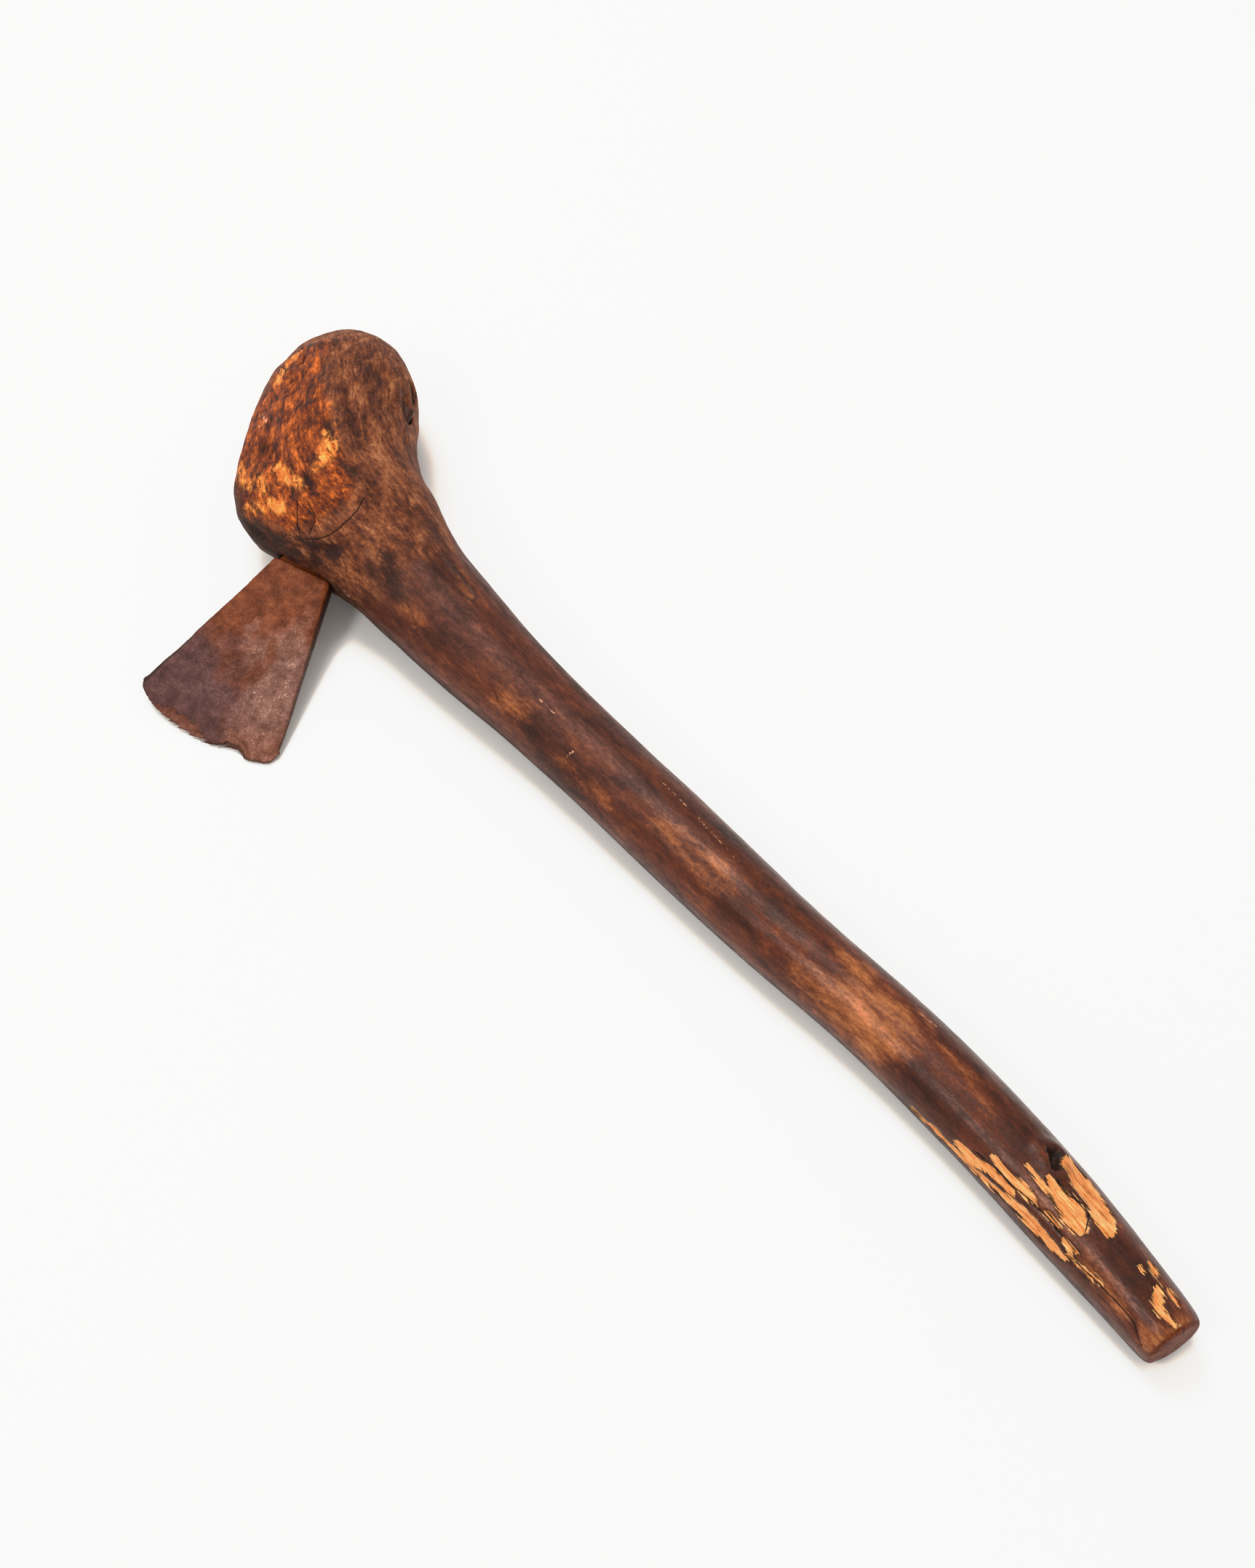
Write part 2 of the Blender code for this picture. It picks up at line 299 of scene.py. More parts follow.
# marks on the haft: (metres along it, degrees around it with 0 on top and 90 in front, and half the
# width in mm, which the cracks don't have)
marks = {
    "torn": (
        ((0.6244, -30, 4.2), (0.6330, -26, 4.9), (0.6436, -24, 4.4), (0.6525, -16, 4.9),
         (0.6591, -7, 2.6)),
        ((0.6247, 9, 0.8), (0.6299, 11, 2.4), (0.6369, 14, 4.2), (0.6440, 17, 5.1), (0.6493, 19, 3.6),
         (0.6527, 21, 1.3)),
        ((0.6024, 44, 0.8), (0.6087, 46, 1.5), (0.6152, 46, 2.0), (0.6216, 45, 2.3), (0.6275, 46, 1.6),
         (0.6302, 45, 0.7)),
        ((0.5702, 85, 0.7), (0.5751, 85, 1.0), (0.5784, 84, 0.7)),
        ((0.5863, 72, 1.3), (0.5930, 71, 2.6), (0.5990, 69, 2.3), (0.6052, 62, 2.0), (0.6119, 61, 2.0),
         (0.6189, 62, 2.0)),
        ((0.6197, 70, 1.6), (0.6288, 71, 3.1), (0.6379, 72, 3.3), (0.6464, 71, 2.9), (0.6525, 70, 2.0),
         (0.6554, 71, 0.8)),
        ((0.5576, 94, 0.5), (0.5623, 93, 0.8), (0.5680, 93, 0.7)),
        ((0.6362, 39, 0.8), (0.6415, 42, 1.3), (0.6447, 44, 0.7)),
        ((0.6489, 48, 0.8), (0.6536, 49, 1.3), (0.6573, 48, 0.7)),
        ((0.6780, -12, 0.5), (0.6802, -9, 0.8)),
        ((0.6785, -28, 1.1), (0.6816, -28, 2.0), (0.6850, -25, 0.8)),
        ((0.6901, -12, 1.3), (0.6929, -2, 2.3), (0.6969, 6, 2.0), (0.7020, 7, 1.3), (0.7066, 3, 0.7)),
        ((0.6931, -26, 0.7), (0.6965, -25, 1.3), (0.6995, -24, 0.7)),
        ((0.5588, 89, 0.5), (0.5679, 91, 0.9), (0.5770, 89, 0.9), (0.5868, 85, 1.2), (0.5994, 84, 1.7),
         (0.6123, 77, 1.6), (0.6195, 73, 1.3)),
        ((0.6545, 63, 0.9), (0.6656, 59, 1.0), (0.6733, 52, 0.8)),
        ((0.6152, 17, 0.4), (0.6268, 21, 0.9), (0.6292, 21, 0.5)),
        ((0.6353, 43, 0.6), (0.6447, 44, 0.8)),
    ),
    "knot": (
        ((0.6140, -19, 2.0), (0.6173, -22, 3.3), (0.6230, -9, 2.0)),
    ),
    "cracks": (
        ((0.5961, 57), (0.6060, 55), (0.6181, 53), (0.6283, 49), (0.6389, 47),
         (0.6478, 48), (0.6569, 51)),
        ((0.6288, 2), (0.6357, 2), (0.6427, -4), (0.6478, 0), (0.6522, 16)),
        ((0.6563, 61), (0.6639, 60), (0.6740, 53), (0.6844, 50), (0.6952, 52),
         (0.7032, 69)),
        ((0.1428, 6), (0.1457, 17), (0.1468, 27), (0.1472, 38), (0.1459, 48),
         (0.1420, 57), (0.1366, 64)),
        ((0.1197, 47), (0.1241, 53), (0.1288, 60), (0.1340, 65)),
        ((0.1260, 42), (0.1316, 43), (0.1357, 48), (0.1366, 56)),
    ),
    "dark": (
        ((0.5549, 55, 5.9), (0.5675, 51, 5.5), (0.5787, 50, 4.6)),
        ((0.6678, 8, 4.2), (0.6772, 9, 4.9), (0.6868, 16, 4.2)),
        ((0.5972, 75, 1.3), (0.6101, 76, 1.5), (0.6239, 78, 1.3)),
        ((0.6036, -9, 3.3), (0.6101, -10, 2.9)),
        ((0.4260, 46, 3.5), (0.4366, 47, 4.2), (0.4497, 49, 3.5)),
        ((0.5501, 45, 3.5), (0.5612, 49, 5.3), (0.5722, 45, 5.0)),
        ((0.3678, -23, 3.2), (0.3851, -27, 3.5), (0.4055, -37, 3.9), (0.4276, -34, 3.5)),
        ((0.4510, 6, 3.2), (0.4658, 12, 2.8)),
        ((0.5435, -22, 2.8), (0.5590, -27, 2.8), (0.5795, -18, 2.8)),
        ((0.1758, 33, 5.0), (0.1876, 45, 4.2)),
        ((0.1580, -38, 2.3), (0.1768, -39, 2.5), (0.1994, -27, 2.1), (0.2120, -23, 1.3)),
        ((0.2297, 41, 4.6), (0.2420, 42, 3.8)),
        ((0.2637, 37, 3.4), (0.2819, 46, 4.2), (0.3001, 48, 4.6), (0.3125, 42, 3.4)),
        ((0.3084, -13, 2.7), (0.3272, -11, 2.7)),
        ((0.3469, 18, 2.7), (0.3602, 16, 2.3)),
        ((0.0709, 60, 2.4), (0.0818, 53, 2.7), (0.0849, 58, 2.0)),
        ((0.1103, 49, 2.9), (0.1165, 49, 2.2)),
        ((0.1107, 30, 2.0), (0.1148, 33, 1.5)),
        # painted shade along the head's lower edge
        ((0.0950, 86, 2.2), (0.1042, 86, 2.7), (0.1135, 83, 2.7), (0.1230, 80, 2.4)),
        ((0.1281, 46, 1.7), (0.1333, 52, 1.6)),
        ((0.0716, -18, 2.7), (0.0839, -21, 3.2), (0.0969, -25, 3.4), (0.1090, -22, 2.9)),
        ((0.1225, -8, 1.7), (0.1300, 5, 2.0)),
        ((0.0585, -41, 2.2), (0.0715, -50, 2.2)),
        ((0.1496, 61, 2.2), (0.1556, 49, 2.2)),
        ((0.1727, 36, 4.2), (0.1823, 39, 4.7)),
        ((0.1439, 63, 1.2), (0.1372, 68, 1.2)),
        # painted shade along the head's lower edge
        ((0.0950, 88, 2.7), (0.1034, 92, 3.6), (0.1133, 94, 4.0), (0.1232, 90, 3.6), (0.1349, 85, 3.2),
         (0.1458, 82, 3.0)),
    ),
    "orange": (
        ((0.7048, 51, 3.6), (0.7084, 20, 2.9), (0.7072, -13, 2.6)),
        ((0.6637, 47, 2.9), (0.6750, 49, 3.3), (0.6855, 53, 2.6)),
        ((0.3754, 18, 1.4), (0.3903, 15, 1.6), (0.4031, 14, 2.0), (0.4147, 16, 2.4),
         (0.4279, 26, 1.6)),
        ((0.4783, 51, 5.0), (0.4962, 50, 9.0), (0.5126, 49, 12.0), (0.5277, 42, 11.0),
         (0.5400, 34, 3.0)),
        ((0.6100, 62, -1.0), (0.6350, 30, -1.5), (0.6600, 35, -0.5), (0.6850, 40, 0.0)),
        ((0.4950, 22, 4.0), (0.5215, 10, 6.0), (0.5330, 8, 3.0)),
        ((0.5284, -24, -2.0), (0.5500, -12, -2.0), (0.5720, 2, -1.5), (0.5900, 8, -2.0)),
        ((0.4856, -11, 3.2), (0.4995, -12, 2.8)),
        ((0.1636, 29, 2.5), (0.1650, 42, 2.7)),
        ((0.1997, 51, 2.7), (0.2111, 53, 3.4)),
        ((0.1823, -26, 1.9), (0.1841, -14, 1.7)),
        ((0.2034, -22, 1.5), (0.2155, -20, 1.9)),
        ((0.2727, 45, 2.1), (0.2852, 39, 2.1)),
        ((0.3195, 55, 1.9), (0.3317, 56, 1.9), (0.3486, 53, 2.3)),
        ((0.3756, 28, 2.4), (0.3946, 32, 3.4), (0.4087, 34, 3.4), (0.4230, 40, 2.4)),
    ),
    "yellow": (
        ((0.0135, 29, 1.5), (0.0166, 48, 2.0), (0.0264, 56, 1.5)),
        ((0.1005, 49, 1.5), (0.1138, 38, 1.5)),
        ((0.0881, 66, 1.0), (0.0986, 65, 1.0)),
        ((0.0952, -1, 1.5), (0.1038, 1, 3.2), (0.1090, 11, 2.7), (0.1108, 19, 1.2)),
        ((0.0661, 81, 1.0), (0.0793, 76, 1.3), (0.0897, 72, 1.0)),
        ((0.1077, 63, 1.3), (0.1149, 60, 2.0)),
        ((0.0921, 51, 1.2), (0.0998, 43, 1.2)),
        ((0.1073, 70, 1.1), (0.0992, 77, 1.0)),
    ),
    "pale": (
        ((0.2859, 17, 0.4), (0.2919, 16, 0.6), (0.2971, 15, 0.4)),
        ((0.3183, 48, 0.7), (0.3184, 40, 0.6), (0.3187, 35, 0.4)),
        ((0.3588, -19, 0.2), (0.3867, -17, 0.3), (0.4190, -9, 0.2)),
        ((0.5284, -24, 0.3), (0.5416, -28, 0.3)),
        ((0.5082, -44, 0.2), (0.5213, -50, 0.3)),
        ((0.0430, 68, 0.9), (0.0527, 61, 1.1), (0.0508, 68, 0.7)),
        ((0.1639, 90, 1.2), (0.1675, 91, 1.0)),
    ),
    "hole": (
        ((0.0220, 21, 0.9), (0.0276, 25, 0.7)),
    ),
    "face": (
        ((0.0249, 20, 14.7), (0.0489, 41, 21.4), (0.0863, 37, 24.5), (0.1092, 36, 26.2)),
        ((0.0305, 76, 8.6), (0.0576, 75, 9.2), (0.0830, 75, 9.2), (0.0995, 72, 8.6)),
        ((0.1187, 46, 13.5), (0.1262, 21, 12.2)),
    ),
    "ridge": (
        ((0.0279, -13, 0.2), (0.0540, -10, 0.2), (0.0818, -14, 0.2), (0.1033, -14, 0.2),
         (0.1225, -8, 0.2), (0.1435, 5, 0.2)),
        ((0.0932, 80, 0.2), (0.1035, 78, 0.2), (0.1153, 77, 0.2), (0.1266, 73, 0.2), (0.1362, 65, 0.2),
         (0.1461, 49, 0.2), (0.1472, 28, 0.2), (0.1435, 5, 0.2)),
        ((0.0123, 16, 0.2), (0.0279, -13, 0.2)),
        ((0.0503, 49, 0.2), (0.0819, 41, 0.2), (0.1064, 27, 0.2)),
    ),
    "dip": (
        ((0.0786, -23, 3.7), (0.0974, -28, 4.2), (0.1150, -25, 3.7)),
        ((0.0749, 60, 4.4), (0.0872, 47, 4.2)),
        ((0.1121, 31, 2.7), (0.1194, 32, 2.4)),
        ((0.1067, 87, 2.7), (0.1224, 84, 2.9), (0.1371, 73, 2.4)),
        ((0.0632, -51, 4.9), (0.0859, -53, 4.9)),
        ((0.0391, 31, 3.7), (0.0607, 20, 4.2)),
        ((0.1537, 49, 2.0), (0.1474, 64, 2.0)),
        ((0.1392, -10, 3.7), (0.1588, -2, 4.2)),
    ),
    "fibres": (
        ((0.1571, 36, 2.0), (0.1668, 36, 2.2), (0.1736, 38, 1.5)),
        ((0.1389, 16, 1.7), (0.1357, 1, 1.7)),
        ((0.1748, -17, 1.7), (0.1834, -22, 1.7)),
        ((0.1031, -41, 2.2), (0.1197, -33, 2.2)),
    ),
    # painted shade along the lower edge of the head, and a dark patch on the neck
    "shadeAndDark": (
        ((0.0937, 87, 1.5), (0.1058, 87, 2.9), (0.1181, 84, 3.7), (0.1323, 74, 3.7), (0.1444, 64, 4.2),
         (0.1537, 58, 4.2)),
        ((0.1271, 82, 2.4), (0.1411, 77, 2.9), (0.1520, 75, 3.2)),
        ((0.1744, 25, 2.5), (0.1844, 36, 3.5), (0.1943, 39, 4.0)),
    ),
    "notch": (
        ((0.0655, -77, 1.5), (0.0705, -79, 2.2), (0.0760, -80, 1.6)),
    ),
    "scar": (
        ((0.1832, -18, 3.5), (0.1947, -16, 4.1), (0.2057, -17, 3.8), (0.2146, -19, 2.8)),
    ),
}


def measureSpine(points):
    # the haft's middle line, slice by slice along X
    low, high = points[:, 0].min(), points[:, 0].max()
    count = int((high - low) / haft["sliceLength"])
    places = np.linspace(low, high, count + 1)
    index = ((points[:, 0] - low) / (high - low) * count).astype(int)
    index = np.clip(index, 0, count - 1)
    lines = np.zeros((3, count))
    for i in range(count):
        piece = points[index == i]
        lowest, highest = piece.min(axis=0), piece.max(axis=0)
        lines[0, i] = (lowest[1] + highest[1]) / 2
        lines[1, i] = (lowest[2] + highest[2]) / 2
        lines[2, i] = (highest[1] - lowest[1] + highest[2] - lowest[2]) / 4
    blur = haft["sliceBlur"]
    kernel = np.ones(2 * blur + 1) / (2 * blur + 1)
    lines = [np.convolve(np.pad(line, blur, "edge"), kernel, "valid") for line in lines]
    middles = (places[:-1] + places[1:]) / 2
    steps = np.sqrt(np.diff(middles) ** 2 + np.diff(lines[0]) ** 2 + np.diff(lines[1]) ** 2)
    length = np.concatenate([[0.0], np.cumsum(steps)])
    return {"x": middles, "y": lines[0], "z": lines[1], "radius": lines[2], "s": length}


def haftPlaces(points, spine):
    # each point's distance along the haft, and its turn around it: 0 on top, 90 in front
    along = np.interp(points[:, 0], spine["x"], spine["s"])
    sideways = points[:, 1] - np.interp(points[:, 0], spine["x"], spine["y"])
    up = points[:, 2] - np.interp(points[:, 0], spine["x"], spine["z"])
    around = np.degrees(np.arctan2(-sideways, up))
    return along, around, np.stack([along, sideways, up], axis=1)


def onHaft(points, along, around, spine, mark):
    # the point of the surface that a mark's place means
    radius = np.interp(mark[0], spine["s"], spine["radius"])
    turn = np.radians((around - mark[1] + 180.0) % 360.0 - 180.0)
    return points[np.argmin((along - mark[0]) ** 2 + (turn * radius) ** 2)]


def fromLine(points, start, stop):
    # how far along a line each point lies, 0 to 1, and the way from the line to the point
    line = stop - start
    share = np.clip((points - start) @ line / max(line @ line, making["shortest"]), 0.0, 1.0)
    return line, share, points - start - share[:, None] * line


def strokeDepth(points, strokes, place):
    # how deep each point lies inside the nearest stroke, in mm; outside it is negative
    depth = np.full(len(points), -making["farAway"])
    for stroke in strokes:
        spots = [place(mark) for mark in stroke]
        for start, stop, first, last in zip(spots, spots[1:], stroke, stroke[1:]):
            line, share, away = fromLine(points, start, stop)
            gap = np.linalg.norm(away, axis=1) * perMetre
            depth = np.maximum(depth, first[2] + (last[2] - first[2]) * share - gap)
    return depth


def lineSides(points, normals, lines, place):
    # distance to the nearest line in mm: first with a sign for the line's left and right
    side = np.full(len(points), making["farAway"])
    nearest = np.full(len(points), making["farAway"])
    for stroke in lines:
        spots = [place(mark) for mark in stroke]
        for start, stop in zip(spots, spots[1:]):
            line, share, away = fromLine(points, start, stop)
            gap = np.linalg.norm(away, axis=1) * perMetre
            turn = np.einsum("ij,ij->i", np.cross(line[None], normals), away)
            closer = gap < nearest
            nearest[closer] = gap[closer]
            side[closer] = (gap * np.sign(turn))[closer]
    return side, nearest


def nearIron(points):
    # how far each point is from the blade's solid, in mm, as far as it matters
    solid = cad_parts["blade"].data
    corners = [corner.co for corner in solid.vertices]
    tree = BVHTree.FromPolygons(corners, [face.vertices for face in solid.polygons])
    gaps = np.full(len(points), haft["ironReach"])
    low, high = (np.array(corner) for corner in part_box("blade"))
    reach = haft["ironReach"] * mm
    close = np.all((points > low - reach) & (points < high + reach), axis=1)
    for index in np.flatnonzero(close):
        found = tree.find_nearest(Vector(points[index]), reach)
        if found[3] is not None:
            gaps[index] = found[3] * perMetre
    return gaps


def shapeHaft(mesh):
    points = readPoints(mesh)
    spine = measureSpine(points)
    along, around, grain = haftPlaces(points, spine)
    normals = readNormals(mesh)
    joint = nearIron(points)
    skin = joint > haft["skinGap"]   # leaves out the walls of the blade's socket

    def place(mark):
        return onHaft(points[skin], along[skin], around[skin], spine, mark)

    def sunk(name, depth):
        start, stop, metres = haft[name]
        return ease(depth, start, stop) * metres

    depths = {name: strokeDepth(points, marks[name], place) for name in marks if name != "cracks"}
    side, nearCrack = lineSides(points, normals, marks["cracks"], place)
    ridge = np.clip(1.0 + (depths["ridge"] - haft["ridgeRim"]) / haft["ridgeReach"], 0.0, 1.0)
    head = 1.0 - ease(along, *haft["headEnd"])
    lumps, headLumps, ripples, grit = (
        cloud(grain, *haft[name]) for name in ("lumps", "headLumps", "ripples", "grit"))

    # broad lumps, ripples, and the ridge and dips of the chopped head
    rise = lumps * haft["lumpDepth"] * (1.0 - head) + headLumps * haft["headLumpDepth"] * head
    handleRipple = haft["handleRipple"]
    rise += ripples * haft["rippleDepth"] * (handleRipple + (1.0 - handleRipple) * head)
    chopped = ridge * haft["ridgeHeight"] - sunk("dip", depths["dip"])
    rise += chopped * ease(head, *haft["headRelief"])

    # wear and damage
    torn = ease(depths["torn"] + grit * haft["tornRagged"], *haft["tornRim"])
    rise -= torn * (haft["tornDepth"] + ripples * haft["tornRipple"])
    rise -= sunk("crack", -nearCrack)
    rise -= sunk("scar", depths["scar"])
    rise += sunk("knotSwell", depths["knot"])
    rise -= sunk("knot", depths["knot"] + grit * haft["knotRagged"])
    rise -= sunk("hole", depths["hole"])
    rise -= sunk("notch", depths["notch"])
    rise -= sunk("joint", -joint)
    points += normals * rise[:, None]
    low, high = (np.array(corner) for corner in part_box("haft"))
    writePoints(mesh, np.clip(points, low, high))    # no point leaves the box of its solid

    # what the finish needs to know at each point
    storeVector(mesh, "grain", grain)
    storeNumber(mesh, "head", head)
    storeNumber(mesh, "end", normals[:, 0] * ease(points[:, 0], *haft["sawnFrom"]))
    for name in ("torn", "pale", "knot", "scar", "hole", "face", "notch"):
        storeNumber(mesh, name, np.clip(depths[name], -haft["depthLimit"], haft["depthLimit"]))
    for name, (wobble, start, stop) in haft["stainsAndShade"].items():
        storeNumber(mesh, name, ease(depths[name] + lumps * wobble, start, stop))
    # painted shade: darker on the underside, higher up on the head
    start, stop, sooner = haft["underside"]
    storeNumber(mesh, "under", ease(around, start - sooner * head, stop - sooner * head))
    storeNumber(mesh, "polish", ease(along, *haft["polishedFrom"]))
    storeNumber(mesh, "joint", joint)
    storeNumber(mesh, "crackSide", side)
    storeNumber(mesh, "crackNear", nearCrack)


wood = {
    # colours along each noise: (place, (red, green, blue) as on a screen)
    "handle": ((0.32, (40, 18, 11)), (0.42, (57, 27, 17)), (0.50, (74, 36, 23)), (0.58, (90, 45, 28)),
               (0.68, (116, 60, 36)), (0.80, (138, 77, 45))),
    "orange": ((0.32, (78, 36, 17)), (0.46, (114, 60, 30)), (0.56, (140, 81, 45)),
               (0.72, (164, 107, 65))),
    "front": ((0.32, (38, 15, 7)), (0.42, (74, 31, 11)), (0.50, (112, 49, 15)), (0.58, (146, 72, 23)),
              (0.68, (182, 104, 42))),
    "bark": ((0.32, (50, 25, 16)), (0.42, (77, 39, 24)), (0.50, (100, 54, 33)), (0.58, (122, 70, 42)),
             (0.68, (150, 97, 63))),
    "yellow": ((0.34, (146, 73, 26)), (0.50, (190, 112, 44)), (0.62, (220, 156, 80))),
    "torn": ((0.34, (150, 88, 40)), (0.46, (190, 124, 66)), (0.56, (208, 150, 90)),
             (0.66, (220, 172, 116))),
    "end": ((0.36, (52, 20, 6)), (0.52, (100, 44, 13)), (0.66, (136, 68, 24))),
    "crack": (14, 7, 4),
    # for the painted shade on the head's lower edge and the dark neck patch
    "shadeAndDark": (52, 26, 17),
    "chip": (178, 132, 100),
    "sheen": 0.27,                   # strength of the clear reflections
    "sheenTint": (255, 234, 224),
    # noises: scale along the grain, across and up, then detail, roughness, swirl and seed
    "noises": {
        "patches": ((26.0, 85.0, 85.0), 8.0, 0.62, 0.5, 0.0),
        "mottles": ((110.0, 300.0, 300.0), 7.0, 0.66, 0.5, 5.0),
        "lines": ((30.0, 950.0, 950.0), 3.0, 0.6, 0.0, 3.0),
        "crumbs": ((500.0, 900.0, 900.0), 5.0, 0.7, 0.0, 9.0),
        "clouds": ((70.0, 110.0, 110.0), 9.0, 0.68, 0.6, 8.0),
        "spots": ((230.0, 420.0, 420.0), 6.0, 0.7, 0.4, 14.0),
        "streaks": ((55.0, 290.0, 290.0), 7.0, 0.64, 1.2, 21.0),
        "fibres": ((45.0, 1300.0, 1300.0), 4.0, 0.62, 0.0, 11.0),
    },
    # how strongly each noise counts in a blend
    "blends": {
        "tone": (("patches", 0.65), ("mottles", 0.5), ("lines", 0.18), ("crumbs", 0.35)),
        "worn": (("patches", 0.6), ("mottles", 0.6), ("lines", 0.1), ("crumbs", 0.3)),
        "rough": (("clouds", 0.8), ("streaks", 0.6), ("spots", 0.6), ("crumbs", 0.35)),
        "pale": (("fibres", 1.0), ("mottles", 0.6), ("crumbs", 0.3)),
        "shine": (("patches", 0.6), ("mottles", 0.8), ("crumbs", 0.5)),
    },
    # how noises break up a mark's rim: the noise, its low and high, and the shift there
    "shakes": {
        "head": (("patches", 0.3, 0.7, -0.3, 0.3),),
        "face": (("clouds", 0.3, 0.7, -5.0, 5.0), ("spots", 0.3, 0.7, -3.0, 3.0)),
        "torn": (("fibres", 0.3, 0.7, -1.7, 1.7), ("mottles", 0.3, 0.7, -0.9, 0.9)),
        "crackSide": (("mottles", 0.2, 0.8, -0.6, 0.6),),
        "pale": (("crumbs", 0.4, 0.6, -1.6, 0.3),),
        "knot": (("spots", 0.3, 0.7, -1.4, 1.4),),
        "notch": (("spots", 0.3, 0.7, -1.0, 1.0),),
        "joint": (("mottles", 0.3, 0.7, -0.9, 0.9),),
        "scar": (("spots", 0.3, 0.7, -1.8, 1.8),),
    },
    # from and to for each change, then the values there where they aren't 0 and 1
    "spans": {
        "darker": (0.2, 0.8, -0.06, -0.10),
        "worn": (0.56, 1.06),
        "lit": (0.34, 0.60),
        "head": (0.40, 0.85),
        "face": (-3.0, 3.0),
        "bare": (-0.12, 0.12),
        "bareRim": (-1.1, -0.1),
        "crack": (0.42, 0.12),
        "crackReach": (2.4, 1.4),
        "chip": (-0.3, 0.1),
        "knot": (-1.0, 0.4),
        "hole": (-0.8, 0.2),
        "notch": (-1.2, 0.4),
        # painted shade on the wood next to the iron
        "joint": (2.2, 0.8),
        "shadeAndDark": (0.62, 0.40, 0.25, 0.85),
        "scarOutside": (-2.4, -0.4),
        "scarInside": (2.0, 0.2),
        "scarPatches": (0.36, 0.58, 0.1, 0.7),
        "pitCrumbs": (0.35, 0.65, 0.96, 0.78),
        "end": (0.35, 0.65),
        "shine": (0.36, 0.64, 0.38, 0.22),
        "polish": (0.0, 1.0, 0.20, 0.0),
        "relief": (0.0, 1.0, 0.28, 1.3),
    },
    "orangeTone": 0.09,      # how much an orange stain lifts the tone
    "orangeWorn": 0.36,      # and how much it wears the brown away
    "yellowTone": 0.02,
    "fibreTone": 0.10,
    "bareSwell": 0.3,        # mm that the torn places are wider than their strokes
    "bareRimShare": 0.7,
    # how strongly the underside is painted in shade
    "undersideShadeShare": 0.75,
    "shadeAndDarkMix": 0.5,
    "headMatt": 0.8,
    "mattRoughness": 0.26,
    "crumbRelief": 0.5,
    "lineRelief": 0.2,
    "fibreRelief": 0.8,
    "crackRelief": 1.5,
    "reliefStrength": 0.7,
    "reliefHeight": 0.0008,
}


